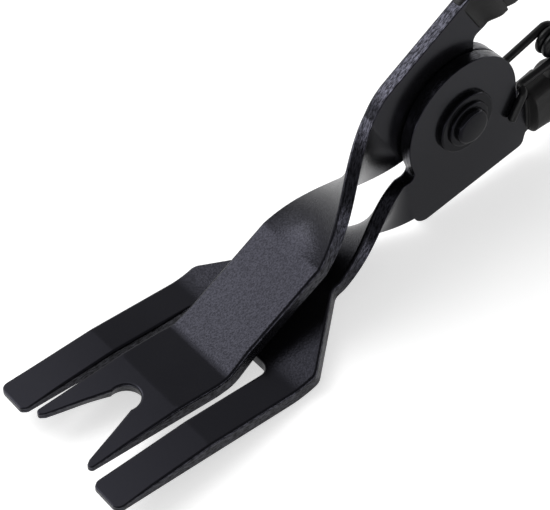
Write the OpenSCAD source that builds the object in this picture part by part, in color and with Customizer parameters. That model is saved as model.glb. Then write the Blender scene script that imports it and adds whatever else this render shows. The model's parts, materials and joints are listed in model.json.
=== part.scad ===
// Reverse-action trim clip pliers. Squeezing the handles lifts the notched jaw
// out of the forked jaw. Two stamped levers turn on one stepped rivet, and a
// wire spring between the handles pushes the jaws shut again.
//
// Working frame, in millimetres: the pivot axis is y, with the rivet's head at
// -y, x runs toward the handles and z toward the notched jaw. The forked blade
// lies level. stand() then sets the whole tool down on its heel and lower grip.

/* [Levers] */
// Thickness of the stamped levers
plate_t = 3.5; // [3:0.1:3.8]
// Radius of the round plates about the pivot
disc_r = 16; // [15.5:0.5:17]
// Gap between the two lever plates
play = 0.1; // [0.06:0.02:0.2]

/* [Forked jaw] */
// Width over both prongs
fork_w = 42.5; // [40:0.5:46]
// Width of the slot between the prongs
slot_w = 25; // [24.5:0.5:28]
// Distance from the prong tips to the pivot
fork_reach = 109.4; // [105:0.2:115]
// Room in the slot behind the notched blade's bend
slot_room = 8.4; // [8:0.2:11]
// Drop of the fork's underside below the pivot
fork_drop = 33.4; // [32:0.1:35]
// Distance from the prong tips to the fork's bend
fork_bend_at = 48.5; // [44:0.5:52]
// Length of the ground taper on the prongs
fork_taper = 24; // [16:1:32]
// Width of the forked lever's twisted neck at its plate
fork_neck_w = 13; // [12:0.2:13.6]
// Width of the same neck where it meets the fork
fork_root_w = 16.2; // [15:0.2:17]

/* [Notched jaw] */
// Width of the notched blade
blade_w = 20.8; // [20:0.1:21.6]
// Setback of the blade tips behind the prong tips
tip_setback = 2; // [1:0.2:5]
// Gap of the notched blade above the fork's underside
blade_lift = 0.4; // [0:0.1:1]
// Offset of the notched blade toward its own lever
blade_off = 0.6; // [0:0.1:1]
// Mouth of the notch at the tips
notch_w = 15.8; // [13:0.2:16]
// Depth of the notch
notch_depth = 19.4; // [14:0.2:22]
// Radius of the notch's root
notch_r = 3.3; // [2:0.1:4]
// Length of the ground taper on the blade
blade_taper = 23; // [18:1:26]
// Width of the notched lever's twisted neck
blade_neck_w = 19.2; // [18.4:0.2:20]
// Thickness that both jaws are ground down to at their tips
tip_t = 1.4; // [1:0.1:2]

/* [Pivot] */
// Shank of the rivet
shank_d = 8; // [6:0.5:8.5]
// Head of the rivet
head_d = 8.8; // [8:0.2:10]
// Height of the rivet's head above its collar
head_h = 1.5; // [1.2:0.1:2.2]
// Collar below the head
collar_d = 11.4; // [10.6:0.2:12.6]
// Washer under the collar
washer_d = 15.4; // [14:0.2:17]
// Thickness of the washer
washer_t = 1.3; // [1:0.1:2]
// Radial running clearance of the turning lever
running = 0.05; // [0.02:0.01:0.08]

/* [Handles] */
// Length of both grips
grip_l = 106; // [95:1:115]
// Height of the grips at their fullest
grip_h = 18.5; // [17:0.5:20]
// Thickness of the grips at their fullest
grip_t = 12.4; // [11.6:0.2:13]
// Ribs on each grip
ribs = 8; // [6:1:10]
// Spacing of the ribs
rib_pitch = 5.8; // [5:0.1:6.2]

/* [Spring] */
// Diameter of the spring's wire
wire_d = 2; // [1.8:0.1:2.2]
// Mean radius of the spring's coil
coil_r = 2.8; // [2.6:0.1:3]

/* [Hidden] */
$fn = 96;

steel = [0.13, 0.13, 0.14];
bright_wire = [0.2, 0.2, 0.21];
sleeve = [0.11, 0.105, 0.1];

// Plates: the forked lever is in front, at -y, and the notched one behind it
plate_mid = (play + plate_t) / 2;
plate_out = play / 2 + plate_t;

// Necks: where each twist starts on its plate, as x and z, and its length
blade_root = [-18.9, 1.6];
blade_slope = 32.4;
blade_twist = 31;
fork_root = [-14.9, -16.3];
fork_twist = 24.7;
// How softly both twists start and end, from 0 to 1
twist_ease = 0.28;
// Inner radius of the notched blade's bend and of the fork's
blade_bend_r = 9;
fork_bend_r = 18;
twist_rings = 28;
twist_cols = 6;
// A twisted strip's overlap with its plate and jaw, its bare straight length and its inset there
bite = 0.8;
bare = 0.2;
hair = 0.02;

// Handles: start of each grip's centre line, slope there and at the far end
lower_start = [20.4, -9.5];
lower_slope = [9, 1];
upper_start = [3.2, 24.05];
upper_slope = [36, 13];
tang_w = 11.4;
tang_short = 14;
// Each sleeve begins as a thin lip, steps up to its collar and swells to its full size
lip_l = 0.9;
lip_t = 0.45;
lip_rise = 0.5;
collar_t = 2.9;
collar_l = 7;
rib_depth = 1.1;
end_round = 9;
swell_l = 26;

// Spring: the coil's centre and where its legs hook over the plates
coil_at = [30.2, 4.8];
coil_turns = 3;
coil_leave = 100;
coil_pitch = wire_d + 0.1;
leg_bend = 1.1;
// Place of the upper hook round the plate, and of the lower hook beside it
high_deg = 10;
low_out = 1.7;
low_z = -0.3;
// Lengths of the two hooks, and the lean of the upper one
hook_l = 7;
hook_lean = 40;
finger_l = 8;
// Gap between the wire and the plates it rests on
seat = 0.1;
wire_r = wire_d / 2;
wire_sides = 8;

// Plane geometry in x and z
function dir(a) = [cos(a), sin(a)];
function turned(p, a) = [p.x * cos(a) - p.y * sin(a), p.x * sin(a) + p.y * cos(a)];
function unit(v) = v / norm(v);
// Where the line through p at angle a meets the line through q at angle b
function meet(p, a, q, b) =
    let (d = q - p, k = (d.x * sin(b) - d.y * cos(b)) / sin(b - a)) p + k * dir(a);
// The corner p between a and b as an arc of radius r
function fillet(a, p, b, r, n = 8) =
    r <= 0 ? [p] :
    let (u = unit(a - p), v = unit(b - p), half = acos(u * v) / 2,
         c = p + unit(u + v) * r / sin(half),
         s = p + u * r / tan(half) - c, e = p + v * r / tan(half) - c,
         w = atan2(s.x * e.y - s.y * e.x, s * e))
    [for (i = [0:n]) c + turned(s, w * i / n)];
// An outline of corners [x, z, radius]
function rounded(p) =
    let (n = len(p), q = [for (c = p) [c.x, c.y]])
    [for (i = [0:n - 1]) each fillet(q[(i + n - 1) % n], q[i], q[(i + 1) % n], p[i][2])];
// Outline points for rounded() at a place on the tool
function at(p, r = 0) = [p.x, p.y, r];

// Centre line of a grip: an arc that starts at p0 and turns from slope a[0] to a[1]
function bow(p0, a, s) =
    let (k = (a[1] - a[0]) / grip_l, b = a[0] + k * s, r = 180 / (PI * k))
    p0 + r * [sin(b) - sin(a[0]), cos(a[0]) - cos(b)];
function bow_slope(a, s) = a[0] + (a[1] - a[0]) * s / grip_l;
function beside(p0, a, s, h) = bow(p0, a, s) + h * dir(bow_slope(a, s) + 90);

// Half sizes of a grip's section at s: a collar, ribs, a swell and a round end
function smooth(u) = let (v = min(max(u, 0), 1)) v * v * (3 - 2 * v);
function rib(s) =
    let (u = (s - collar_l) / rib_pitch)
    u <= 0 || u >= ribs ? 0 : rib_depth * (abs(sin(180 * u)) - 1);
function end_cap(s) =
    s <= grip_l - end_round ? 1 : sqrt(max(0.04, 1 - pow((s - grip_l + end_round) / end_round, 2)));
function swell(s, start, full) =
    start + (full - start) * smooth(s / swell_l);
// The step from the lip to the collar, as what is still missing
function lip(s, step) = step * (1 - smooth((s - lip_l) / lip_rise));
function grip_half_h(s) = (swell(s, tang_w / 2 + 0.8, grip_h / 2) - lip(s, 0.35) + rib(s)) * end_cap(s);
function grip_half_t(s) =
    (swell(s, plate_t / 2 + collar_t, grip_t / 2) - lip(s, collar_t - lip_t) + 0.5 * rib(s)) * end_cap(s);

// Centre lines of the two bent jaws: each neck runs straight from its plate to its bend
fork_bend = [-fork_reach + fork_bend_at, -fork_drop + plate_t / 2];
fork_slope = atan2(fork_root.y - fork_bend.y, fork_root.x - fork_bend.x);
fork_neck = fork_root - fork_twist * dir(fork_slope);
blade_mid = -fork_drop + blade_lift + plate_t / 2;
blade_neck = blade_root - blade_twist * dir(blade_slope);
blade_bend = meet([0, blade_mid], 0, blade_root, blade_slope);
blade_reach = fork_reach - tip_setback;
slot_end = blade_bend.x + slot_room;

// How the tool stands: a floor line that touches the fork's bend and the lower grip
heel_r = fork_bend_r + plate_t;
heel_c = fork_bend + (heel_r - plate_t / 2) / cos(fork_slope / 2) * dir(90 + fork_slope / 2);
stand_deg = min([for (i = [0:60])
    let (g = beside(lower_start, lower_slope, grip_l * i / 60, -grip_half_h(grip_l * i / 60)) - heel_c)
    atan2(g.y, g.x) + asin(heel_r / norm(g))]);
function stood(p) = turned(p, -stand_deg);
floor_z = stood(heel_c).y - heel_r;
tip_x = stood([-fork_reach, -fork_drop + tip_t]).x;
far_x = max([for (i = [40:60]) for (h = [-1, 1]) let (s = grip_l * i / 60)
    max(stood(beside(lower_start, lower_slope, s, h * grip_half_h(s))).x,
        stood(beside(upper_start, upper_slope, s, h * grip_half_h(s))).x)]);

module stand()
    translate([-(tip_x + far_x) / 2, 0, -floor_z]) rotate([0, stand_deg, 0]) children();

// A plate of the lever's thickness, drawn in x and z, between y0 and y0 + t
module upright(y0, t) translate([0, y0 + t, 0]) rotate([90, 0, 0]) linear_extrude(t) children();

// The side view of a jaw: ground tip, flat blade, bend of radius r, straight neck
module jaw_side(tip, taper, bend, neck, r) {
    h = plate_t / 2;
    up = unit(neck - bend);
    side = [-up.y, up.x];
    bottom = bend.y - h;
    half = acos(up.x) / 2;
    off = h * tan(half);
    polygon(rounded([
        [tip, bottom, 0.3], [bend.x + off, bottom, r + plate_t], at(neck - h * side), at(neck + h * side),
        [bend.x - off, bottom + plate_t, r], [tip + taper, bottom + plate_t, 0],
        [tip, bottom + tip_t, 0.4]]));
}

// A jaw is its side view drawn out to its width, cut to its outline from above
module jaw(w) {
    intersection() {
        upright(-w / 2 - 1, w + 2) children(0);
        translate([0, 0, -3 * fork_drop]) linear_extrude(6 * fork_drop) children(1);
    }
}

// A strip that turns a quarter about its straight line down from root: its upper edge
// goes to -y. w gives its width on the plate and on the jaw, and y its middle there.
// Both ends run straight out of the plate and the jaw, a hair inside their faces.
module twisted(root, slope, long, w, y) {
    last = twist_rings;
    n = last + 2;
    m = twist_cols;
    up = [-sin(slope), 0, cos(slope)];
    out = [0, -1, 0];
    function ring(j) =
        let (i = min(max(j - 1, 0), last), u = i / last, a = 90 * (u + twist_ease * (smooth(u) - u)),
             half = (w[0] + (w[1] - w[0]) * u) / 2 - hair, t = plate_t / 2 - hair,
             more = j == 0 ? bite : j == 1 ? -bare : j == n - 1 ? bare : j == n ? -bite : 0,
             p = root + (more - long * u) * dir(slope), c = [p.x, y[0] + (y[1] - y[0]) * u, p.y],
             wide = cos(a) * up + sin(a) * out, thick = sin(a) * up - cos(a) * out)
        [for (k = [0:m]) c + (2 * k / m - 1) * half * wide + t * thick,
         for (k = [m:-1:0]) c + (2 * k / m - 1) * half * wide - t * thick];
    size = 2 * (m + 1);
    points = [for (i = [0:n]) each ring(i)];
    walls = [for (i = [0:n - 1]) for (k = [0:size - 1])
        let (a = i * size + k, b = i * size + (k + 1) % size)
        each [[a, b, a + size], [b, b + size, a + size]]];
    ends = [for (k = [0:m - 1]) let (q = [k, 2 * m + 1 - k, 2 * m - k, k + 1])
        each [q, [for (j = [3:-1:0]) n * size + q[j]]]];
    polyhedron(points, [each walls, each ends]);
}

// Outline of a handle's tang: both edges follow the grip's centre line
function tang(p0, a, s0) =
    let (l = grip_l - tang_short, n = 16)
    [for (i = [0:n]) beside(p0, a, s0 + (l - s0) * i / n, -tang_w / 2),
     for (i = [n:-1:0]) beside(p0, a, s0 + (l - s0) * i / n, tang_w / 2)];

module fork_plate() {
    edge = fork_neck_w / 2 * dir(fork_slope + 90);
    difference() {
        union() {
            circle(disc_r);
            polygon(rounded([
                at(fork_root + edge), at(fork_root - edge), [-11, -25.3, 4], [20.7, -18.7, 1.8],
                at(beside(lower_start, lower_slope, 0, -tang_w / 2), 0.8),
                at(beside(lower_start, lower_slope, 4, -tang_w / 2)),
                at(beside(lower_start, lower_slope, 4, tang_w / 2)),
                [disc_r + 1, lower_start.y + tang_w / 2 - 0.5, 2], [disc_r - 0.1, 1, 0], [0, 0, 0],
                [-disc_r + 0.1, -1.5, 0], [-13.2, -9.9, 1.6]]));
            polygon(tang(lower_start, lower_slope, 1));
        }
        circle(d = shank_d);
    }
}

module blade_plate() {
    edge = blade_neck_w / 2 * dir(blade_slope + 90);
    past = blade_root - 2 * dir(blade_slope);
    difference() {
        union() {
            circle(disc_r);
            polygon(rounded([
                at(past - edge), at(blade_root - edge), [0, 0, 0], [4.7, disc_r - 0.8, 0], [4.5, disc_r + 2.7, 1.8],
                at(beside(upper_start, upper_slope, 1, -tang_w / 2), 0.8),
                at(beside(upper_start, upper_slope, 4, -tang_w / 2)),
                at(beside(upper_start, upper_slope, 4, tang_w / 2)), [-21.6, 14.2, 14],
                at(blade_root + edge), at(past + edge)]));
            polygon(tang(upper_start, upper_slope, 1));
        }
        circle(d = shank_d + 2 * running);
        // The plate ends where its twist begins
        translate(blade_root) rotate(blade_slope) translate([-20, -40]) square([20, 80]);
    }
}

module fork_outline() {
    tip = -fork_reach;
    outer = fork_w / 2;
    inner = slot_w / 2;
    narrow = fork_root_w / 2;
    waist = fork_neck.x - 2.4;
    shoulder = waist - (outer - narrow) / tan(40);
    difference() {
        polygon(rounded([
            [tip, outer, 1.8], [tip, -outer, 1.8], [shoulder, -outer, 3], [waist, -narrow, 3],
            [fork_neck.x + 5, -narrow, 0], [fork_neck.x + 5, narrow, 0],
            [waist, narrow, 3], [shoulder, outer, 3]]));
        polygon(rounded([
            [tip - 1, inner + 1.2, 0], [tip, inner + 1.2, 0], [tip + 1.2, inner, 1],
            [slot_end, inner, 3], [slot_end, -inner, 3],
            [tip + 1.2, -inner, 1], [tip, -inner - 1.2, 0], [tip - 1, -inner - 1.2, 0]]));
    }
}

module blade_outline() {
    tip = -blade_reach;
    wide = blade_w / 2;
    narrow = blade_neck_w / 2;
    mouth = notch_w / 2;
    root = tip + notch_depth - notch_r;
    lean = atan2(mouth - notch_r, root - tip);
    difference() {
        polygon(rounded([
            [tip, wide - 0.4, 1.3], [tip, -wide + 0.4, 1.3], [blade_bend.x - 4, -wide, 6],
            [blade_bend.x + 6, -narrow, 6], [blade_neck.x + 5, -narrow, 0], [blade_neck.x + 5, narrow, 0],
            [blade_bend.x + 6, narrow, 6], [blade_bend.x - 4, wide, 6]]));
        translate([root, 0]) circle(notch_r);
        polygon(rounded([
            [tip - 1, mouth + 1.2, 0], [tip, mouth + 1.2, 0], [tip + 1, mouth, 1],
            at([root, 0] + notch_r * dir(90 + lean)), at([root, 0] - notch_r * dir(90 - lean)),
            [tip + 1, -mouth, 1], [tip, -mouth - 1.2, 0], [tip - 1, -mouth - 1.2, 0]]));
    }
}

module fork_jaw_lever() color(steel) stand() {
    upright(-plate_out, plate_t) fork_plate();
    twisted(fork_root, fork_slope, fork_twist, [fork_neck_w, fork_root_w], [-plate_mid, 0]);
    jaw(fork_w) {
        jaw_side(-fork_reach, fork_taper, fork_bend, fork_neck, fork_bend_r);
        fork_outline();
    }
}

module v_jaw_lever() color(steel) stand() {
    upright(play / 2, plate_t) blade_plate();
    twisted(blade_root, blade_slope, blade_twist, [blade_neck_w, blade_neck_w], [plate_mid, blade_off]);
    translate([0, blade_off, 0]) jaw(blade_w) {
        jaw_side(-blade_reach, blade_taper, blade_bend, blade_neck, blade_bend_r);
        blade_outline();
    }
}

// The rivet's profile, turned about the pivot from its front head to its back one
module pivot_rivet() color(steel) stand() rotate([90, 0, 0]) rotate_extrude() {
    front = plate_out + washer_t;
    back = -plate_out - running;
    collar_h = 0.7;
    top = front + collar_h + head_h;
    polygon(rounded([
        [0, back - 1.8, 0], [shank_d / 2 + 0.4, back - 1.8, 1.2], [shank_d / 2 + 1.8, back, 0],
        [shank_d / 2, back, 0], [shank_d / 2, front, 0], [collar_d / 2, front, 0],
        [collar_d / 2, front + collar_h, 0.3], [head_d / 2, front + collar_h, 0],
        [head_d / 2, top, 0.9], [0, top + 0.1, 0]]));
}

module front_washer() color(steel) stand() rotate([90, 0, 0]) rotate_extrude()
    polygon(rounded([
        [shank_d / 2, plate_out, 0], [washer_d / 2, plate_out, 0],
        [washer_d / 2, plate_out + washer_t, 0.45], [shank_d / 2, plate_out + washer_t, 0]]));

// Sweep of a round wire along points, with rings that turn as little as they can
module wire(path) {
    n = len(path) - 1;
    function tangent(i) = unit(path[min(i + 1, n)] - path[max(i - 1, 0)]);
    function flat(v, t) = unit(v - (v * t) * t);
    side = [for (i = 0, v = flat([0, 1, 0.2], tangent(0)); i <= n;
                 i = i + 1, v = flat(v, tangent(min(i, n)))) v];
    points = [for (i = [0:n]) let (t = tangent(i), v = side[i], w = cross(t, v))
        for (k = [0:wire_sides - 1])
            path[i] + wire_r * (cos(360 * k / wire_sides) * v + sin(360 * k / wire_sides) * w)];
    walls = [for (i = [0:n - 1]) for (k = [0:wire_sides - 1])
        let (a = i * wire_sides + k, b = i * wire_sides + (k + 1) % wire_sides)
        each [[a, a + wire_sides, b], [b, a + wire_sides, b + wire_sides]]];
    polyhedron(points, [each walls, [for (k = [0:wire_sides - 1]) k],
        [for (k = [wire_sides - 1:-1:0]) n * wire_sides + k]]);
}

// A polyline through corners [x, y, z, radius], with its corners as arcs
function bent(p) = [for (i = [0:len(p) - 1])
    let (q = [p[i].x, p[i].y, p[i].z], r = p[i][3])
    each (r <= 0 ? [q] :
        let (u = unit([p[i - 1].x, p[i - 1].y, p[i - 1].z] - q),
             v = unit([p[i + 1].x, p[i + 1].y, p[i + 1].z] - q),
             half = acos(u * v) / 2, c = q + unit(u + v) * r / sin(half),
             e1 = unit(q + u * r / tan(half) - c), e2 = unit(cross(cross(e1, q + v * r / tan(half) - c), e1)))
        [for (k = [0:5]) c + r * (cos((180 - 2 * half) * k / 5) * e1 + sin((180 - 2 * half) * k / 5) * e2)])];

// A torsion spring: a coil between the handles, and two legs that run to the
// round plates, cross over their edges and lie hooked against their outer faces
module return_spring() color(bright_wire) stand() {
    over = plate_out + wire_r + seat;
    low = [disc_r + low_out, low_z];
    high = (disc_r + wire_r + seat) * dir(high_deg);
    hook = hook_l * dir(180 - hook_lean);
    finger = finger_l * unit([-0.45 * disc_r, -disc_r]);
    turn = coil_turns * 360 - 180;
    steps = ceil(turn / 20);
    coil = [for (i = [0:steps])
        let (u = i / steps, a = coil_leave - u * turn)
        [coil_at.x + coil_r * cos(a), turn / 360 * coil_pitch * (0.5 - u), coil_at.y + coil_r * sin(a)]];
    first = coil[0];
    last = coil[steps];
    wire([
        each bent([[high.x + hook.x, over, high.y + hook.y, 0], [high.x, over, high.y, leg_bend],
                   [high.x, first.y, high.y, leg_bend], [first.x, first.y, first.z, 0]]),
        each [for (i = [1:steps - 1]) coil[i]],
        each bent([[last.x, last.y, last.z, 0], [low.x, last.y, low.y, leg_bend],
                   [low.x, -over, low.y, leg_bend], [low.x + finger.x, -over, low.y + finger.y, 0]])]);
}

// A moulded sleeve over a tang: superellipse sections along the grip's centre line
module grip(p0, a, mid) {
    sides = 20;
    rings = [for (s = [0, each [for (i = [0:3]) lip_l + lip_rise * i / 3],
                       each [for (i = [1:2]) collar_l * (i + 1) / 3 - 0.4],
                       each [for (i = [0:ribs * 5]) collar_l + rib_pitch * i / 5],
                       each [for (i = [1:6]) let (b = collar_l + ribs * rib_pitch)
                             b + (grip_l - end_round - b) * i / 6],
                       each [for (i = [1:7]) grip_l - end_round * (1 - sin(90 * i / 7))]]) s];
    function soft(v) = sign(v) * pow(abs(v), 0.68);
    points = [for (s = rings) for (k = [0:sides - 1])
        let (c = bow(p0, a, s), b = bow_slope(a, s) + 90, w = 360 * (k + 0.5) / sides,
             h = grip_half_h(s) * soft(sin(w)), d = grip_half_t(s) * soft(cos(w)))
        [c.x + h * cos(b), mid + d, c.y + h * sin(b)]];
    n = len(rings) - 1;
    walls = [for (i = [0:n - 1]) for (k = [0:sides - 1])
        let (p = i * sides + k, q = i * sides + (k + 1) % sides)
        each [[p, p + sides, q], [q, p + sides, q + sides]]];
    polyhedron(points, [each walls, [for (k = [0:sides - 1]) k],
        [for (k = [sides - 1:-1:0]) n * sides + k]]);
}

module lower_grip() color(sleeve) stand() difference() {
    grip(lower_start, lower_slope, -plate_mid);
    upright(-plate_out, plate_t) polygon(tang(lower_start, lower_slope, -6));
}

module upper_grip() color(sleeve) stand() difference() {
    grip(upper_start, upper_slope, plate_mid);
    upright(play / 2, plate_t) polygon(tang(upper_start, upper_slope, -6));
}

fork_jaw_lever();
v_jaw_lever();
pivot_rivet();
front_washer();
return_spring();
lower_grip();
upper_grip();
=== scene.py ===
"""Reverse-action trim clip pliers in satin black, standing on a pale studio floor.

Shapes are worked out in the tool's working frame, in millimetres: the pivot axis is y, with the
rivet's head at -y, x runs toward the handles and z toward the notched jaw, and the forked blade
lies level. to_row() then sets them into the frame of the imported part, in metres.
"""
import json
import math

import bpy
import numpy as np
from mathutils import Matrix, Vector
from mathutils.geometry import delaunay_2d_cdt


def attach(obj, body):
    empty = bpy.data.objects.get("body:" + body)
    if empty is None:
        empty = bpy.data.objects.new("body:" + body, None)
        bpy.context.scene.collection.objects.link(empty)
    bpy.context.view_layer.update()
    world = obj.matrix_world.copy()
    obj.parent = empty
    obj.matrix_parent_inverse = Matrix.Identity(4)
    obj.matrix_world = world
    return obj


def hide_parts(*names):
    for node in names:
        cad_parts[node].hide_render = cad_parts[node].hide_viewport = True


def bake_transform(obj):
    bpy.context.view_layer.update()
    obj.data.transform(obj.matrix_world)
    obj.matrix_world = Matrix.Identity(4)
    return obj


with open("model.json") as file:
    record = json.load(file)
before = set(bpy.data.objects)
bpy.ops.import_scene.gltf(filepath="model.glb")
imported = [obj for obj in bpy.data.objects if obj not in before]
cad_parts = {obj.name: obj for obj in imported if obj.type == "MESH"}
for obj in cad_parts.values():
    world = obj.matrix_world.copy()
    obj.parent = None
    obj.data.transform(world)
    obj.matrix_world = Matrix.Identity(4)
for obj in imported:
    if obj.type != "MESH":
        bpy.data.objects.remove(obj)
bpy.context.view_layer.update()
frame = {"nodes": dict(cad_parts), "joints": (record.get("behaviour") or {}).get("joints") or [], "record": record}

# Working frame
MM = 0.001
PIVOT = np.array(frame["joints"][0]["pos_m"])
PRY_AXIS = next(m["axis"] for m in frame["record"]["mounts"] if m["name"] == "pry_face")
STAND = math.asin(-PRY_AXIS[0])
STAND_TURN = np.array([[math.cos(STAND), 0, math.sin(STAND)],
                       [0, 1, 0],
                       [-math.sin(STAND), 0, math.cos(STAND)]])

# Levers
PLATE_T = 3.5
HALF_T = PLATE_T / 2
PLAY = 0.1
PLATE_MID = (PLAY + PLATE_T) / 2
PLATE_OUT = PLAY / 2 + PLATE_T
DISC_R = 16.0
SHANK_D = 8.0
RUNNING = 0.05
TANG_W = 11.4
TANG_SHORT = 14.0
ROLLOVER = 0.7
BURR = 0.22

# Forked jaw
FORK_W = 42.48
SLOT_W = 25.0
FORK_REACH = 109.35
SLOT_ROOM = 8.4
FORK_DROP = 33.4
FORK_BEND = np.array([-60.9, -FORK_DROP + HALF_T])
FORK_TAPER = 24.0
FORK_NECK_W = 13.0
FORK_ROOT_W = 16.2
FORK_ROOT = np.array([-14.9, -16.3])
FORK_TWIST = 24.7
FORK_BEND_R = 18.0 + HALF_T
FORK_HEEL = (-11.0, -25.3)
FORK_TOE = (20.7, -18.7)
FORK_THROAT = (-13.2, -9.9)
WAIST_BEYOND = 2.4
SHOULDER_SLOPE = 40.0

# Notched jaw
BLADE_W = 20.8
BLADE_REACH = 107.4
BLADE_LIFT = 0.4
BLADE_OFF = 0.6
NOTCH_W = 15.8
NOTCH_DEPTH = 19.4
NOTCH_R = 3.3
NOTCH_RELIEF = 0.9
BLADE_TAPER = 23.0
BLADE_NECK_W = 19.2
BLADE_ROOT = np.array([-18.9, 1.6])
BLADE_SLOPE = 32.4
BLADE_TWIST = 31.0
BLADE_BEND_R = 4.5 + HALF_T
BLADE_SHOULDER = (-21.6, 14.2)
BLADE_ARMPIT = (4.5, DISC_R + 2.7)
BLADE_CHORD = 20.4
TIP_T = 1.4
TWIST_EASE = 0.28

# Pivot
HEAD_D = 8.8
HEAD_H = 1.5
COLLAR_D = 11.4
COLLAR_H = 0.7
WASHER_D = 15.4
WASHER_T = 1.3
BACK_HEAD_H = 1.8

# Handles
GRIP_L = 106.0
GRIP_H = 18.5
GRIP_T = 12.4
RIBS = 8
RIB_PITCH = 5.8
RIB_DEPTH = 1.1
LIP_L = 0.9
LIP_T = 0.45
LIP_RISE = 0.5
COLLAR_T = 2.9
COLLAR_L = 7.0
SWELL_L = 26.0
END_ROUND = 9.0
SLEEVE_TIGHT = 0.985
SECTION_POWER = 0.68
LOWER_START = np.array([20.4, -9.5])
LOWER_SLOPE = (9.0, 1.0)
UPPER_START = np.array([3.2, 24.05])
UPPER_SLOPE = (36.0, 13.0)

# Spring
WIRE_R = 1.0
COIL_R = 2.8
COIL_AT = np.array([30.2, 4.8])
COIL_TURNS = 3
COIL_LEAVE = 100.0
COIL_PITCH = 2.1
LEG_BEND = 1.1
SEAT = 0.1
HIGH_DEG = 10.0
HOOK_L = 7.0
HOOK_DEG = 140.0
FINGER_L = 8.0
FINGER_WAY = np.array([-0.45, -1.0])
LOW = np.array([DISC_R + 1.7, -0.3])

# Camera, in the working frame
CAMERA_AT = np.array([-234.9, -220.3, 273.3])
CAMERA_TO = np.array([-50.9, 0.0, -12.7])
CAMERA_ROLL = math.radians(0.51)
CAMERA_LENS = 124.0


def to_row(points):
    """Points of the working frame, in millimetres, as points of the part's frame in metres."""
    return np.asarray(points, float) @ STAND_TURN.T * MM + PIVOT


# Plane outlines
def heading(degrees):
    """The unit vector at an angle."""
    return np.array([math.cos(math.radians(degrees)), math.sin(math.radians(degrees))])


def unit(v):
    """The vector at length one."""
    return v / np.linalg.norm(v)


def arc(centre, radius, start, end, step=0.6):
    """Points of a circle's arc between two angles, in degrees, about step millimetres apart."""
    count = max(3, int(abs(math.radians(end - start)) * radius / step) + 1)
    angles = np.radians(np.linspace(start, end, count))
    return np.asarray(centre) + radius * np.c_[np.cos(angles), np.sin(angles)]


def fillet(before, corner, after, radius):
    """The corner between two straight edges as an arc of that radius, tangent to both."""
    if radius <= 0:
        return corner[None]
    u, v = unit(before - corner), unit(after - corner)
    half = math.acos(np.clip(u @ v, -1, 1)) / 2
    centre = corner + unit(u + v) * radius / math.sin(half)
    first = corner + u * radius / math.tan(half) - centre
    last = corner + v * radius / math.tan(half) - centre
    sweep = math.atan2(first[0] * last[1] - first[1] * last[0], first @ last)
    a = sweep * np.linspace(0, 1, max(4, int(abs(sweep) * radius / 0.4) + 2))
    turned = np.c_[first[0] * np.cos(a) - first[1] * np.sin(a), first[0] * np.sin(a) + first[1] * np.cos(a)]
    return centre + turned


def rounded(corners):
    """A closed outline through corners (point, radius), each corner an arc."""
    points = [np.asarray(p, float) for p, r in corners]
    count = len(points)
    return np.vstack([fillet(points[i - 1], points[i], points[(i + 1) % count], corners[i][1])
                      for i in range(count)])


def spaced(loop, step=0.9):
    """The closed outline with every edge cut to pieces of at most step millimetres."""
    after = np.roll(loop, -1, 0)
    gap = np.linalg.norm(after - loop, axis=1)
    keep = gap > 1e-4
    loop, after, gap = loop[keep], after[keep], gap[keep]
    cuts = np.ceil(gap / step).astype(int)
    index = np.repeat(np.arange(len(loop)), cuts)
    share = (np.arange(cuts.sum()) - np.repeat(np.cumsum(cuts) - cuts, cuts)) / cuts[index]
    return loop[index] + share[:, None] * (after - loop)[index]


def area(loop):
    """The signed area of a closed outline, positive where it runs anticlockwise."""
    after = np.roll(loop, -1, 0)
    return 0.5 * np.sum(loop[:, 0] * after[:, 1] - after[:, 0] * loop[:, 1])


def bow(start, slopes, s, side=0.0):
    """A grip's centre line, an arc that turns from slopes[0] to slopes[1], or a line beside it."""
    rate = (slopes[1] - slopes[0]) / GRIP_L
    a, b = math.radians(slopes[0]), np.radians(slopes[0] + rate * np.asarray(s, float))
    radius = 180 / (math.pi * rate)
    x = start[0] + radius * (np.sin(b) - math.sin(a)) - side * np.sin(b)
    z = start[1] + radius * (math.cos(a) - np.cos(b)) + side * np.cos(b)
    return np.stack([x, z], -1)


def smooth(u):
    """Zero to one with a level start and end."""
    u = np.clip(u, 0, 1)
    return u * u * (3 - 2 * u)


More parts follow.
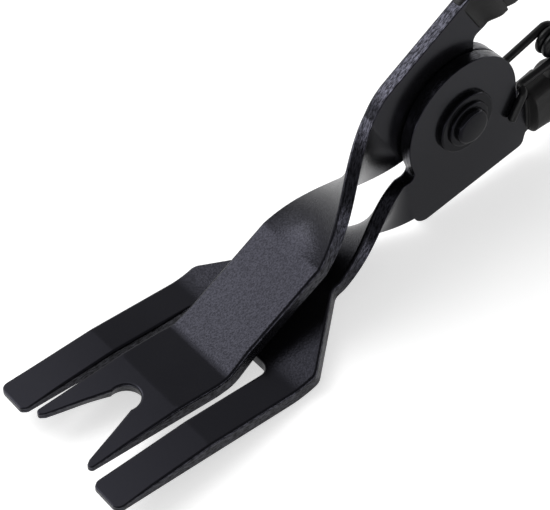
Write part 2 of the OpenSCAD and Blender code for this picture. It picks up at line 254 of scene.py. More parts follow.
class Spine:
    """The line that a flat blank is carried along, from its plate (t < 0) to its jaw's tips.

    The line falls along the slope at each t, the blank turns a quarter about it over the twist's
    length, and the jaw's upper face is ground down to the tips over its last stretch.
    """

    def __init__(self, root, slope_at, twist, y_plate, y_jaw, reach, taper):
        self.t = np.arange(-150.0, 160.0, 0.05)
        slope = np.radians(slope_at(self.t))
        step = np.diff(self.t, prepend=self.t[0])
        self.x = -np.cumsum(np.cos(slope) * step)
        self.z = -np.cumsum(np.sin(slope) * step)
        self.x += root[0] - np.interp(0, self.t, self.x)
        self.z += root[1] - np.interp(0, self.t, self.z)
        self.slope = slope
        self.root, self.first_slope = root, math.degrees(slope[0])
        self.twist, self.y_plate, self.y_jaw = twist, y_plate, y_jaw
        self.tip = self.at_x(-reach)
        self.taper = taper
        self.bend = np.interp(-slope[0] / 2, -slope, self.t)

    def at_x(self, x):
        """The t at which the line has that x."""
        return np.interp(-np.asarray(x, float), -self.x, self.t)

    def from_plate(self, points):
        """Blank coordinates (t, b) of points (x, z) on the plate."""
        rel = np.asarray(points, float) - self.root
        along = heading(self.first_slope)
        return np.c_[-rel @ along, rel @ np.array([-along[1], along[0]])]

    def from_jaw(self, points):
        """Blank coordinates (t, b) of points (x, y) of the jaw seen from above, y from its middle."""
        points = np.asarray(points, float)
        return np.c_[self.at_x(points[:, 0]), -points[:, 1]]

    def place(self, t, b, w):
        """Where a blank's point (t along, b across, w through its thickness) lies on the lever."""
        share = np.clip(t / self.twist, 0, 1)
        turn = (share + TWIST_EASE * (smooth(share) - share)) * math.pi / 2
        slope = np.interp(t, self.t, self.slope)
        ground = np.clip((t - self.tip + self.taper) / self.taper, 0, 1)
        w = (w + HALF_T) * (1 - ground * (1 - TIP_T / PLATE_T)) - HALF_T
        rise = b * np.cos(turn) + w * np.sin(turn)
        middle = self.y_plate + (self.y_jaw - self.y_plate) * share
        return np.stack([np.interp(t, self.t, self.x) - np.sin(slope) * rise,
                         middle - b * np.sin(turn) + w * np.cos(turn),
                         np.interp(t, self.t, self.z) + np.cos(slope) * rise], -1)

    def normal(self, t, b, w, n):
        """The lever's surface normal where the blank's is n, by small steps along t, b and w."""
        e = 0.02
        dt = self.place(t + e, b, w) - self.place(t - e, b, w)
        db = self.place(t, b + e, w) - self.place(t, b - e, w)
        dw = self.place(t, b, w + e) - self.place(t, b, w - e)
        out = np.cross(db, dw) * n[:, :1] + np.cross(dw, dt) * n[:, 1:2] + np.cross(dt, db) * n[:, 2:]
        return out / np.linalg.norm(out, axis=1, keepdims=True)


# Meshes
def new_piece(name, points, faces, normals=None, marks=None, uv=None):
    """A mesh object at the origin with smooth faces, its own normals, attributes and UV map."""
    mesh = bpy.data.meshes.new(name)
    mesh.from_pydata(to_row(points).tolist(), [], faces)
    mesh.polygons.foreach_set("use_smooth", np.ones(len(mesh.polygons), bool))
    for key, values in (marks or {}).items():
        mesh.attributes.new(key, "FLOAT", "POINT").data.foreach_set("value", np.asarray(values, np.float32))
    if uv is not None:
        corner = np.empty(len(mesh.loops), int)
        mesh.loops.foreach_get("vertex_index", corner)
        layer = mesh.uv_layers.new(name="blank")
        layer.data.foreach_set("uv", np.asarray(uv, np.float32)[corner].ravel())
    mesh.update()
    if normals is not None:
        mesh.normals_split_custom_set_from_vertices((normals @ STAND_TURN.T).tolist())
    else:
        mesh.set_sharp_from_angle(angle=math.radians(38))
    piece = bpy.data.objects.new(name, mesh)
    bpy.context.scene.collection.objects.link(piece)
    return piece


def inside(points, loops, margin):
    """Which points lie in the outlines, by the even-odd rule, and more than margin from any edge."""
    odd = np.zeros(len(points), bool)
    near = np.full(len(points), np.inf)
    px, py = points[:, :1], points[:, 1:]
    for loop in loops:
        a, b = loop, np.roll(loop, -1, 0)
        d = b - a
        straddle = (a[:, 1] > py) != (b[:, 1] > py)
        cross = a[:, 0] + (py - a[:, 1]) * d[:, 0] / np.where(d[:, 1] == 0, 1e-12, d[:, 1])
        odd ^= (np.sum(straddle & (px < cross), axis=1) % 2).astype(bool)
        k = np.clip(((px - a[:, 0]) * d[:, 0] + (py - a[:, 1]) * d[:, 1]) / np.sum(d * d, axis=1), 0, 1)
        gap = np.hypot(px - a[:, 0] - k * d[:, 0], py - a[:, 1] - k * d[:, 1])
        near = np.minimum(near, gap.min(axis=1))
    return odd & (near > margin)


def edge_profile():
    """A sheared edge from face to face as (inset, w, normal across, normal through).

    It is a quarter round of the punch's rollover, a straight wall and a small round at the burr.
    """
    a = np.radians(np.linspace(0, 90, 6))
    b = np.radians(np.linspace(0, 90, 4))
    wall = np.linspace(HALF_T - ROLLOVER, -HALF_T + BURR, 5)[1:-1]
    inset = np.r_[ROLLOVER * (1 - np.sin(a)), 0 * wall, BURR * (1 - np.cos(b))]
    depth = np.r_[HALF_T - ROLLOVER * (1 - np.cos(a)), wall, -HALF_T + BURR * (1 - np.sin(b))]
    across = np.r_[np.sin(a), 1 + 0 * wall, np.cos(b)]
    through = np.r_[np.cos(a), 0 * wall, -np.sin(b)]
    return inset, depth, across, through


def stamped(name, spine, loops, relief=None, step=1.1):
    """A lever: a flat blank cut to the outlines in (t, b), with sheared edges, carried along its spine.

    Both faces share one triangulation of the outline and of a square grid of points inside it. Where
    relief(t, b) gives a length, the edge's wall leans in by that much from its upper to its lower side.
    """
    loops = [spaced(loop if (area(loop) > 0) == (i == 0) else loop[::-1]) for i, loop in enumerate(loops)]
    inset, depth, across, through = edge_profile()
    rim = np.vstack(loops)
    ahead = np.vstack([np.roll(loop, -1, 0) - np.roll(loop, 1, 0) for loop in loops])
    out = np.c_[ahead[:, 1], -ahead[:, 0]] / np.linalg.norm(ahead, axis=1, keepdims=True)
    size = len(rim)
    starts = np.cumsum([0] + [len(loop) for loop in loops])
    after = np.concatenate([np.roll(np.arange(a, b), -1) for a, b in zip(starts[:-1], starts[1:])])

    low, high = rim.min(0), rim.max(0)
    grid = np.stack(np.meshgrid(np.arange(low[0], high[0], step), np.arange(low[1], high[1], step)), -1)
    grid = grid.reshape(-1, 2)
    grid = grid[inside(grid, loops, ROLLOVER + 0.5 * step)]
    lean = relief(*rim.T) if relief else np.zeros(size)
    eased, room = rim[lean > 0], lean[lean > 0] + 0.6
    grid = grid[np.all(np.linalg.norm(grid[:, None] - eased[None], axis=2) > room, axis=1)]
    share = np.interp(rim[:, 0], [spine.tip - 9, spine.tip - 2.5], [1, 0.55])[:, None]
    shrunk = rim - out * ROLLOVER * share
    flat = [Vector(p) for p in np.vstack([shrunk, grid]).tolist()]
    edges = np.c_[np.arange(size), after].tolist()
    triangles, source = delaunay_2d_cdt(flat, edges, [], 4, 1e-6)[2:4]
    upper = np.array([first[0] for first in source])[np.array(triangles)]

    rings = len(inset)
    rim_tb = rim[None] - (out * share)[None] * inset[:, None, None]
    rim_tb -= out[None] * lean[None, :, None] * ((HALF_T - depth) / PLATE_T)[:, None, None]
    tb = np.vstack([rim_tb.reshape(-1, 2), grid, grid])
    w = np.concatenate([np.repeat(depth, size), np.full(len(grid), HALF_T), np.full(len(grid), -HALF_T)])
    tilted = (through[:, None] - across[:, None] * lean / PLATE_T).ravel()
    n = np.vstack([np.c_[np.tile(out, (rings, 1)) * np.repeat(across, size)[:, None], tilted],
                   np.tile([0, 0, 1.0], (len(grid), 1)), np.tile([0, 0, -1.0], (len(grid), 1))])
    top = np.where(upper < size, upper, upper - size + rings * size)
    bottom = np.where(upper < size, upper + (rings - 1) * size, upper - size + rings * size + len(grid))
    k = np.arange(rings - 1)[:, None] * size
    i = np.arange(size)[None]
    walls = np.stack([k + i, k + size + i, k + size + after[None], k + after[None]], -1).reshape(-1, 4)

    t, b = tb.T
    points = spine.place(t, b, w)
    normals = spine.normal(t, b, w, n)
    edge = np.concatenate([np.repeat(across, size), np.zeros(2 * len(grid))])
    faces = top.tolist() + bottom[:, ::-1].tolist() + walls.tolist()
    probe = points[faces[0]]
    if np.cross(probe[1] - probe[0], probe[2] - probe[0]) @ normals[faces[0][0]] < 0:
        faces = [face[::-1] for face in faces]
    bent = [0.1 * spine.twist, 0.5 * spine.twist, spine.bend - 1, spine.bend + 2]
    worked = np.interp(t, bent, [0, 1, 1, 0])
    marks = {"edge": edge, "depth": w / HALF_T, "along": t, "worked": worked}
    return new_piece(name, points, faces, normals, marks, tb * MM)


def tube(name, rings, poles=None):
    """Rings of points joined into a closed skin, with each end closed to a pole."""
    count, sides = rings.shape[:2]
    i = np.arange(count - 1)[:, None] * sides
    k = np.arange(sides)[None]
    turn = (k + 1) % sides
    walls = np.stack([i + k, i + turn, i + sides + turn, i + sides + k], -1).reshape(-1, 4)
    first, last = count * sides, count * sides + 1
    far = (count - 1) * sides
    ends = np.stack([np.full(sides, first), turn[0], k[0]], -1).tolist()
    ends += np.stack([np.full(sides, last), far + k[0], far + turn[0]], -1).tolist()
    poles = [rings[0].mean(0), rings[-1].mean(0)] if poles is None else poles
    points = np.vstack([rings.reshape(-1, 3), poles])
    faces = walls.tolist() + ends
    middle = rings[count // 2]
    a, b, c, d = points[walls[len(walls) // 2]]
    if np.cross(b - a, d - a) @ (a - middle.mean(0)) < 0:
        faces = [face[::-1] for face in faces]
    return new_piece(name, points, faces)


def sweep(path, radius, across, sides=24):
    """Rings of a round wire along a path: circles square to it, begun where they cross one direction."""
    ahead = np.gradient(path, axis=0)
    ahead /= np.linalg.norm(ahead, axis=1, keepdims=True)
    side = np.cross(ahead, across)
    side /= np.linalg.norm(side, axis=1, keepdims=True)
    up = np.cross(ahead, side)
    a = np.linspace(0, 2 * math.pi, sides, endpoint=False)[None, :, None]
    radius = np.broadcast_to(radius, len(path))[:, None, None]
    return path[:, None] + radius * (np.cos(a) * side[:, None] + np.sin(a) * up[:, None])


def turned(name, profile, sides=160):
    """A profile (r, y) from pole to pole, carried round the pivot's axis."""
    a = np.linspace(0, 2 * math.pi, sides, endpoint=False)
    r, y = np.asarray(profile, float).T
    rings = np.stack([r[:, None] * np.cos(a), np.broadcast_to(y[:, None], (len(r), sides)),
                      r[:, None] * np.sin(a)], -1)
    return tube(name, rings[1:-1], poles=[[0, y[0], 0], [0, y[-1], 0]])


# The two levers
BLADE_MID = -FORK_DROP + BLADE_LIFT + HALF_T
BLADE_RUN = (BLADE_ROOT[1] - BLADE_MID) / math.tan(math.radians(BLADE_SLOPE))
BLADE_BEND = np.array([BLADE_ROOT[0] - BLADE_RUN, BLADE_MID])


def bent_slope(neck, bend_at, radius):
    """A neck's slope that turns to level over the arc of its bend, whose corner is at bend_at."""
    def slope_at(t):
        tangent = radius * math.tan(math.radians(neck) / 2)
        return neck * (1 - np.clip((t - bend_at + tangent) / (radius * math.radians(neck)), 0, 1))
    return slope_at


def fork_spine():
    """The forked lever's line: straight from its plate to the fork's bend."""
    fall = FORK_ROOT - FORK_BEND
    slope = math.degrees(math.atan2(fall[1], fall[0]))
    slope_at = bent_slope(slope, np.linalg.norm(fall), FORK_BEND_R)
    return Spine(FORK_ROOT, slope_at, FORK_TWIST, -PLATE_MID, 0.0, FORK_REACH, FORK_TAPER)


def blade_spine():
    """The notched lever's line: straight from its plate to the bend above the fork's underside."""
    fall = BLADE_ROOT - BLADE_BEND
    slope_at = bent_slope(BLADE_SLOPE, np.linalg.norm(fall), BLADE_BEND_R)
    return Spine(BLADE_ROOT, slope_at, BLADE_TWIST, PLATE_MID, BLADE_OFF, BLADE_REACH, BLADE_TAPER)


def tang_edges(start, slopes):
    """The two edges of a handle's tang, outward along its lower side and back along its upper one."""
    s = np.linspace(4, GRIP_L - TANG_SHORT, 60)
    return bow(start, slopes, s, -TANG_W / 2), bow(start, slopes, s[::-1], TANG_W / 2)


def fork_outline(spine):
    """The forked lever's blank: plate, disc, tang, neck, shoulders, prongs and slot."""
    edge = FORK_NECK_W / 2 * heading(spine.first_slope + 90)
    below, above = tang_edges(LOWER_START, LOWER_SLOPE)
    foot = bow(LOWER_START, LOWER_SLOPE, 0, -TANG_W / 2)
    corners = [(FORK_ROOT - edge, 0), (FORK_HEEL, 4), (FORK_TOE, 1.8), (foot, 0.8)]
    corners += [(p, 0) for p in np.vstack([below, above])]
    corners += [((DISC_R + 1, LOWER_START[1] + TANG_W / 2 - 0.5), 2)]
    corners += [(p, 0) for p in arc((0, 0), DISC_R, 4, 205)]
    corners += [(FORK_THROAT, 1.6), (FORK_ROOT + edge, 0)]
    plate = spine.from_plate(rounded(corners))
    tip, outer, inner, half = -FORK_REACH, FORK_W / 2, SLOT_W / 2, FORK_ROOT_W / 2
    neck = spine.x[np.searchsorted(spine.t, FORK_TWIST)]
    waist = neck - WAIST_BEYOND
    shoulder = waist - (outer - half) / math.tan(math.radians(SHOULDER_SLOPE))
    slot = BLADE_BEND[0] + SLOT_ROOM
    side = [((waist, -half), 3), ((shoulder, -outer), 3), ((tip, -outer), 1.8), ((tip, -inner - 0.9), 0.9),
            ((tip + 1.2, -inner), 1), ((slot, -inner), 3)]
    mirror = [((x, -y), r) for (x, y), r in reversed(side)]
    start = [((neck, half), 0), ((neck, -half), 0)]
    jaw = spine.from_jaw(rounded(start + side + mirror))
    bore = spine.from_plate(arc((0, 0), SHANK_D / 2, 0, 354, 0.4))
    return [np.vstack([plate, np.roll(jaw, -1, 0)]), bore]


def blade_outline(spine):
    """The notched lever's blank: plate, disc, tang, neck, blade and notch."""
    edge = BLADE_NECK_W / 2 * heading(BLADE_SLOPE + 90)
    below, above = tang_edges(UPPER_START, UPPER_SLOPE)
    chord = BLADE_ROOT - BLADE_CHORD * heading(BLADE_SLOPE + 90)
    disc = arc((0, 0), DISC_R, math.degrees(math.atan2(chord[1], chord[0])), 73)
    corners = [(BLADE_ROOT - edge, 0)] + [(p, 0) for p in disc]
    corners += [(BLADE_ARMPIT, 1.8), (bow(UPPER_START, UPPER_SLOPE, 1, -TANG_W / 2), 0.8)]
    corners += [(p, 0) for p in np.vstack([below, above])]
    corners += [(BLADE_SHOULDER, 14), (BLADE_ROOT + edge, 0)]
    plate = spine.from_plate(rounded(corners))
    tip, wide, half, mouth = -BLADE_REACH, BLADE_W / 2, BLADE_NECK_W / 2, NOTCH_W / 2
    neck, bend = spine.x[np.searchsorted(spine.t, BLADE_TWIST)], BLADE_BEND[0]
    root = tip + NOTCH_DEPTH - NOTCH_R
    lean = math.degrees(math.atan2(mouth - NOTCH_R, root - tip))
    side = [((bend + 6, -half), 6), ((bend - 4, -wide), 6), ((tip, -wide + 0.4), 0.9),
            ((tip, -mouth - 0.8), 0.5), ((tip + 1.1, -mouth), 0.8)]
    mirror = [((x, -y), r) for (x, y), r in reversed(side)]
    notch = [(p, 0) for p in arc((root, 0), NOTCH_R, -90 - lean, 90 + lean, 0.4)]
    start = [((neck, half), 0), ((neck, -half), 0)]
    jaw = spine.from_jaw(rounded(start + side + notch + mirror))
    bore = spine.from_plate(arc((0, 0), SHANK_D / 2 + RUNNING, 0, 354, 0.4))
    return [np.vstack([plate, np.roll(jaw, -1, 0)]), bore]


def notch_relief(t, b):
    """How far the notch's wall leans in below: nothing at the tips, eased to its full size at the root."""
    back = (blade_line.tip - t) / NOTCH_DEPTH
    return np.where((np.abs(b) < NOTCH_W / 2 - 0.2) & (back < 1.04), NOTCH_RELIEF * smooth(1.6 * back), 0)


fork_line = fork_spine()
blade_line = blade_spine()
fork_lever = stamped("forked_lever", fork_line, fork_outline(fork_line))
blade_lever = stamped("notched_lever", blade_line, blade_outline(blade_line), notch_relief)


# The rivet and its washer, with h standing up from the plates' middle toward the rivet's head
def lathe(name, corners):
    """A profile of corners (r, h, rounding) from pole to pole, turned about the pivot."""
    outline = rounded([((r, h), rounding) for r, h, rounding in corners])
    return turned(name, np.c_[outline[:, 0], -outline[:, 1]])


FRONT = PLATE_OUT + WASHER_T
BACK = -PLATE_OUT - RUNNING
HEAD_TOP = FRONT + COLLAR_H + HEAD_H
rivet = lathe("stepped_rivet", [
    (0, BACK - BACK_HEAD_H, 0), (SHANK_D / 2 + 0.4, BACK - BACK_HEAD_H, 1.2), (SHANK_D / 2 + 1.8, BACK, 0),
    (SHANK_D / 2, BACK, 0), (SHANK_D / 2, FRONT, 0), (COLLAR_D / 2, FRONT, 0),
    (COLLAR_D / 2, FRONT + COLLAR_H, 0.3), (HEAD_D / 2, FRONT + COLLAR_H, 0), (HEAD_D / 2, HEAD_TOP, 0.9),
    (0, HEAD_TOP, 0)])


# The sleeves
def sleeve(name, start, slopes, mid, lip_rise):
    """A moulded sleeve: superellipse sections along the grip's line.

    Their half height and half thickness begin as a thin lip, step up to the collar, swell to the
    palm and close over the round end. Scallops, the arches of a sine, run along the upper and lower
    edges, with sharp grooves between them that carry on faintly across the sides.
    """
    lip = np.radians(np.linspace(0, 90, 5))
    ribs_end = COLLAR_L + RIBS * RIB_PITCH
    s = np.concatenate([0.3 * (1 - np.cos(lip)), np.linspace(0.45, LIP_L, 3),
                        LIP_L + lip_rise * np.linspace(0, 1, 13)[1:],
                        np.linspace(LIP_L + lip_rise, COLLAR_L, 9)[1:],
                        np.linspace(COLLAR_L, ribs_end, RIBS * 24 + 1)[1:],
                        np.linspace(ribs_end, GRIP_L - END_ROUND, 24)[1:],
                        GRIP_L - END_ROUND * (1 - np.sin(np.radians(np.linspace(0, 84, 16)[1:])))])
    u = (s - COLLAR_L) / RIB_PITCH
    groove = RIB_DEPTH * np.where((u <= 0) | (u >= RIBS), 0, np.abs(np.sin(math.pi * u)) - 1)
    missing = 1 - smooth((s - LIP_L) / lip_rise)
    end = np.sqrt(np.maximum(0.0, 1 - np.maximum(0, (s - GRIP_L + END_ROUND) / END_ROUND) ** 2))
    first_h, first_t = TANG_W / 2 + 0.8, HALF_T + COLLAR_T
    swell = smooth(s / SWELL_L)
    half_h = first_h + (GRIP_H / 2 - first_h) * swell - 0.35 * missing + groove
    half_t = first_t + (GRIP_T / 2 - first_t) * swell - (COLLAR_T - LIP_T) * missing + 0.5 * groove
    turn_in = np.zeros(len(s))
    turn_in[:5] = 0.3 * (1 - np.sin(lip))
    a = np.linspace(0, 2 * math.pi, 96, endpoint=False)
    rise, side = (np.sign(v) * np.abs(v) ** SECTION_POWER for v in (np.sin(a), np.cos(a)))
    high = (half_h * end * SLEEVE_TIGHT - turn_in)[:, None] * rise[None]
    deep = (half_t * end * SLEEVE_TIGHT - turn_in)[:, None] * side[None]
    line = bow(start, slopes, s)
    tilt = np.radians(slopes[0] + (slopes[1] - slopes[0]) * s / GRIP_L)[:, None]
    rings = np.stack([line[:, :1] - high * np.sin(tilt), mid + deep, line[:, 1:] + high * np.cos(tilt)], -1)
    rings = np.concatenate([rings[:1] * 0.5 + 0.5 * rings[:1].mean(1, keepdims=True), rings])
    return tube(name, rings)


lower_sleeve = sleeve("lower_sleeve", LOWER_START, LOWER_SLOPE, -PLATE_MID, LIP_RISE)
upper_sleeve = sleeve("upper_sleeve", UPPER_START, UPPER_SLOPE, PLATE_MID, 10 * LIP_RISE)


# The spring
def bent_wire(corners):
    """A line through corners (point, radius) in space, each corner an arc tangent to both stretches."""
    points = [np.asarray(p, float) for p, r in corners]
    stretches = []
    for i, (q, (_, r)) in enumerate(zip(points, corners)):
        if r <= 0:
            stretches.append(q[None])
            continue
        u, v = unit(points[i - 1] - q), unit(points[i + 1] - q)
        half = math.acos(u @ v) / 2
        centre = q + unit(u + v) * r / math.sin(half)
        first = unit(q + u * r / math.tan(half) - centre)
        last = q + v * r / math.tan(half) - centre
        second = unit(np.cross(np.cross(first, last), first))
        a = np.linspace(0, math.pi - 2 * half, 10)[:, None]
        stretches.append(centre + r * (np.cos(a) * first + np.sin(a) * second))
    return np.vstack(stretches)


def torsion_spring(name):
    """A round wire: a hook over the notched lever, a helix between the handles, a hook over the forked one.

    The wire is a circle carried along that path, drawn in at both cut ends.
    """
    over = PLATE_OUT + WIRE_R + SEAT
    low, finger = LOW, LOW + FINGER_L * unit(FINGER_WAY)
    high = (DISC_R + WIRE_R + SEAT) * heading(HIGH_DEG)
    hook = high + HOOK_L * heading(HOOK_DEG)
    sweep_deg = COIL_TURNS * 360 - 180
    u = np.linspace(0, 1, 90)
    a = np.radians(COIL_LEAVE - u * sweep_deg)
    coil = np.stack([COIL_AT[0] + COIL_R * np.cos(a), sweep_deg / 360 * COIL_PITCH * (0.5 - u),
                     COIL_AT[1] + COIL_R * np.sin(a)], -1)
    first, last = coil[0], coil[-1]
    path = np.vstack([
        bent_wire([((hook[0], over, hook[1]), 0), ((high[0], over, high[1]), LEG_BEND),
                   ((high[0], first[1], high[1]), LEG_BEND), (first, 0)]), coil[1:-1],
        bent_wire([(last, 0), ((low[0], last[1], low[1]), LEG_BEND), ((low[0], -over, low[1]), LEG_BEND),
                   ((finger[0], -over, finger[1]), 0)])])
    along = np.concatenate([[0], np.cumsum(np.linalg.norm(np.diff(path, axis=0), axis=1))])
    fine = np.arange(0, along[-1], 0.16)
    path = np.stack([np.interp(fine, along, path[:, k]) for k in range(3)], -1)
    to_end = np.minimum(fine, fine[-1] - fine)
    radius = np.sqrt(np.clip(WIRE_R ** 2 - np.clip(0.5 - to_end, 0, None) ** 2 * 2.6, 0.02, None))
    return tube(name, sweep(path, radius, (0.5, 0.62, -0.6)))


spring = torsion_spring("torsion_spring")


# Finishes
def node_maker(tree):
    """A function that adds a node to the tree, with its inputs set to values or linked from sockets."""
    def node(kind, inputs=None, **settings):
        n = tree.nodes.new(kind)
        for key, value in settings.items():
            setattr(n, key, value)
        for key, value in (inputs or {}).items():
            if isinstance(value, bpy.types.NodeSocket):
                tree.links.new(value, n.inputs[key])
            else:
                n.inputs[key].default_value = value
        return n
    return node


def finish_material(name):
    """A new node material: itself, its Principled shader, its maker of nodes and its linker."""
    made = bpy.data.materials.new(name)
    made.use_nodes = True
    shader = next(n for n in made.node_tree.nodes if n.type == "BSDF_PRINCIPLED")
    return made, shader, node_maker(made.node_tree), made.node_tree.links.new


def mixed(node, factor, a, b):
    """The colour between a and b at a factor."""
    return node("ShaderNodeMix", {0: factor, 6: a, 7: b}, data_type="RGBA").outputs[2]


def spread(node, value, low, high, start=0.0, end=1.0):
    """The value's stretch from low to high, as start to end."""
    return node("ShaderNodeMapRange", {0: value, 1: low, 2: high, 3: start, 4: end}).outputs[0]


def satin_black(name, gloss):
    """Black oxide on sheet steel: even faces, a peel where the strip was bent, and streaked sheared edges."""
    made, shader, node, link = finish_material(name)
    place = node("ShaderNodeTexCoord").outputs["Object"]
    mottle = node("ShaderNodeTexNoise", {"Vector": place, "Scale": 90.0, "Detail": 4.0}).outputs[0]
    peel = node("ShaderNodeTexNoise", {"Vector": place, "Scale": 2300.0, "Detail": 2.0}).outputs[0]
    edge, worked, along, depth = (node("ShaderNodeAttribute", attribute_name=key).outputs["Fac"]
                                  for key in ("edge", "worked", "along", "depth"))
    wall = spread(node, edge, 0.6, 1.0)
    lie = node("ShaderNodeCombineXYZ", {0: along, 1: depth}).outputs[0]
    lie = node("ShaderNodeMapping", {"Vector": lie, "Scale": (0.7, 4.2, 1.0)}).outputs[0]
    streak = node("ShaderNodeTexNoise", {"Vector": lie, "Scale": 1.0, "Detail": 4.0,
                                         "Roughness": 0.7}).outputs[0]
    torn = spread(node, streak, 0.42, 0.62, 0.12, 0.85)
    link(mixed(node, mottle, (0.0022, 0.0022, 0.0026, 1), (0.0042, 0.0042, 0.0048, 1)),
         shader.inputs["Base Color"])
    grainy = spread(node, worked, 0.0, 1.0, gloss, spread(node, peel, 0.35, 0.65, 0.7 * gloss, 1.3 * gloss))
    link(spread(node, wall, 0.0, 1.0, grainy, torn), shader.inputs["Specular IOR Level"])
    shader.inputs["Specular Tint"].default_value = (0.78, 0.78, 1.0, 1)
    even = spread(node, mottle, 0.3, 0.7, 0.19, 0.23)
    dulled = spread(node, worked, 0.0, 1.0, 0.0, 0.04)
    link(node("ShaderNodeMath", {0: even, 1: dulled}, operation="ADD").outputs[0], shader.inputs["Roughness"])
    rough = node("ShaderNodeBump", {"Height": peel, "Strength": spread(node, worked, 0.0, 1.0, 0.06, 1.0),
                                    "Distance": 0.00005})
    sheared = node("ShaderNodeBump", {"Height": streak, "Strength": wall, "Distance": 0.00005,
                                      "Normal": rough.outputs[0]})
    link(sheared.outputs[0], shader.inputs["Normal"])
    return made


def moulded_black():
    """Soft moulded plastic: a warm black with a fine sparked grain."""
    made, shader, node, link = finish_material("moulded_black_sleeve")
    place = node("ShaderNodeTexCoord").outputs["Object"]
    mottle = node("ShaderNodeTexNoise", {"Vector": place, "Scale": 120.0, "Detail": 3.0}).outputs[0]
    grain = node("ShaderNodeTexNoise", {"Vector": place, "Scale": 3200.0, "Detail": 2.0}).outputs[0]
    link(mixed(node, mottle, (0.006, 0.0058, 0.006, 1), (0.01, 0.0096, 0.0098, 1)),
         shader.inputs["Base Color"])
    link(spread(node, grain, 0.3, 0.7, 0.42, 0.54), shader.inputs["Roughness"])
    shader.inputs["Specular IOR Level"].default_value = 0.28
    bump = node("ShaderNodeBump", {"Height": grain, "Strength": 0.35, "Distance": 0.00008})
    link(bump.outputs[0], shader.inputs["Normal"])
    return made


def dark_wire():
    """Oil-dark spring wire with drawing marks."""
    made, shader, node, link = finish_material("dark_spring_wire")
    place = node("ShaderNodeTexCoord").outputs["Object"]
    grain = node("ShaderNodeTexNoise", {"Vector": place, "Scale": 1500.0, "Detail": 3.0}).outputs[0]
    link(mixed(node, grain, (0.0025, 0.0025, 0.003, 1), (0.006, 0.006, 0.0068, 1)),
         shader.inputs["Base Color"])
    shader.inputs["Specular IOR Level"].default_value = 0.22
    link(spread(node, grain, 0.3, 0.7, 0.28, 0.4), shader.inputs["Roughness"])
    bump = node("ShaderNodeBump", {"Height": grain, "Strength": 0.15, "Distance": 0.00004})
    link(bump.outputs[0], shader.inputs["Normal"])
    return made


STEEL = satin_black("satin_black_steel", 0.25)
RIVET = satin_black("satin_black_rivet", 0.13)
SLEEVE = moulded_black()
WIRE = dark_wire()


def fit(piece, node, body, finish):
    """The piece stands for its CAD node, moves with that body and takes a slot's finish."""
    piece.data.materials.append(finish)
    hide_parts(node)
    if body:
        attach(piece, body)


fit(fork_lever, "fork_jaw_lever", "fork_lever", STEEL)
fit(blade_lever, "v_jaw_lever", "v_lever", STEEL)
fit(rivet, "pivot_rivet", "fork_lever", RIVET)
fit(lower_sleeve, "lower_grip", "fork_lever", SLEEVE)
fit(upper_sleeve, "upper_grip", "v_lever", SLEEVE)
fit(spring, "return_spring", None, WIRE)
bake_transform(spring)
washer = frame["nodes"]["front_washer"]
washer.data.materials.clear()
washer.data.materials.append(RIVET)


# Stage
def pale_floor():
    """A wide level sheet at z = 0 that reads white and keeps the tool's shadow."""
    mesh = bpy.data.meshes.new("floor")
    mesh.from_pydata([(-3, -3, 0), (3, -3, 0), (3, 3, 0), (-3, 3, 0)], [], [(0, 1, 2, 3)])
    floor = bpy.data.objects.new("floor", mesh)
    bpy.context.scene.collection.objects.link(floor)
    made, shader, node, link = finish_material("pale_floor")
    place = node("ShaderNodeTexCoord").outputs["Object"]
    cloud = node("ShaderNodeTexNoise", {"Vector": place, "Scale": 3.0}).outputs[0]
    link(mixed(node, cloud, (0.76, 0.76, 0.76, 1), (0.8, 0.8, 0.8, 1)), shader.inputs["Base Color"])
    shader.inputs["Roughness"].default_value = 0.9
    shader.inputs["Emission Color"].default_value = (1, 1, 1, 1)
    ray = node("ShaderNodeLightPath").outputs
    mirrored = spread(node, ray["Is Glossy Ray"], 0.0, 1.0, 0.0, 0.35)
    link(spread(node, ray["Is Camera Ray"], 0.0, 1.0, mirrored, 0.6), shader.inputs["Emission Strength"])
    mesh.materials.append(made)


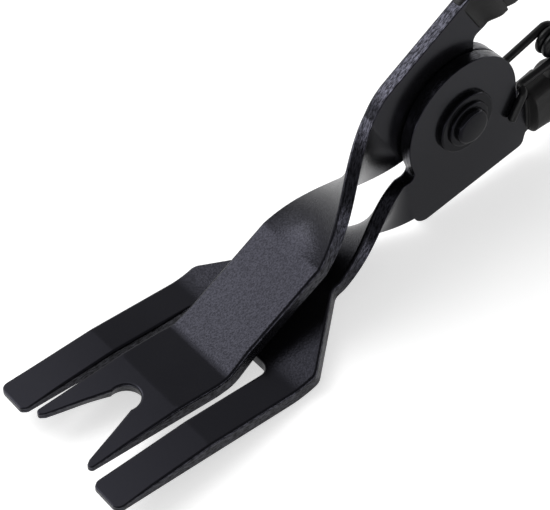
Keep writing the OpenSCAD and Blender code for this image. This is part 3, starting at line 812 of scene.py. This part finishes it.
def studio_sky():
    """A pale surround that dims upward, and on the camera's side a bright low band under a dim ceiling."""
    world = bpy.data.worlds.new("studio")
    world.use_nodes = True
    tree = world.node_tree
    node = node_maker(tree)
    way = node("ShaderNodeSeparateXYZ", {0: node("ShaderNodeTexCoord").outputs["Generated"]}).outputs
    behind = spread(node, way["Z"], 0.25, 0.6, 1.1, 0.55)
    before = spread(node, way["Z"], 0.04, 0.2, 4.0, 0.2)
    both = spread(node, way["Y"], -0.2, 0.4, before, behind)
    seen = node("ShaderNodeLightPath").outputs["Is Camera Ray"]
    back = next(n for n in tree.nodes if n.type == "BACKGROUND")
    strength = node("ShaderNodeMath", {0: seen, 1: both}, operation="MAXIMUM").outputs[0]
    tree.links.new(strength, back.inputs["Strength"])
    back.inputs["Color"].default_value = (1, 1, 1, 1)
    bpy.context.scene.world = world


def softbox(name, towards, distance, size, power):
    """A square soft light that looks at the tool's middle from a direction."""
    lamp = bpy.data.lights.new(name, "AREA")
    lamp.shape, lamp.size, lamp.energy = "SQUARE", size, power
    holder = bpy.data.objects.new(name, lamp)
    bpy.context.scene.collection.objects.link(holder)
    middle = Vector(to_row((-40, 0, -10)).tolist())
    away = Vector(towards).normalized()
    turn = away.to_track_quat("Z", "Y").to_matrix().to_4x4()
    holder.matrix_world = Matrix.Translation(middle + away * distance) @ turn
    holder.visible_camera = False


def photo_camera():
    """The camera of the photograph, placed in the working frame and rolled a little."""
    back = unit(CAMERA_AT - CAMERA_TO)
    level = unit(np.cross([0, 0, 1], back))
    rise = np.cross(back, level)
    right = math.cos(CAMERA_ROLL) * level + math.sin(CAMERA_ROLL) * rise
    up = math.cos(CAMERA_ROLL) * rise - math.sin(CAMERA_ROLL) * level
    turn = STAND_TURN @ np.stack([right, up, back], 1)
    lens = bpy.data.cameras.new("camera")
    lens.lens, lens.sensor_width, lens.sensor_fit = CAMERA_LENS, 36, "HORIZONTAL"
    holder = bpy.data.objects.new("camera", lens)
    place = Matrix.Translation(Vector(to_row(CAMERA_AT).tolist()))
    holder.matrix_world = place @ Matrix(turn.tolist()).to_4x4()
    bpy.context.scene.collection.objects.link(holder)
    bpy.context.scene.camera = holder


pale_floor()
studio_sky()
softbox("neck_softbox", (-0.36, 0.66, 0.64), 1.0, 0.6, 3.5)
softbox("top_softbox", (-0.12, 0.62, 0.78), 1.2, 1.0, 4.2)
photo_camera()
bpy.context.scene.view_settings.view_transform = "Standard"
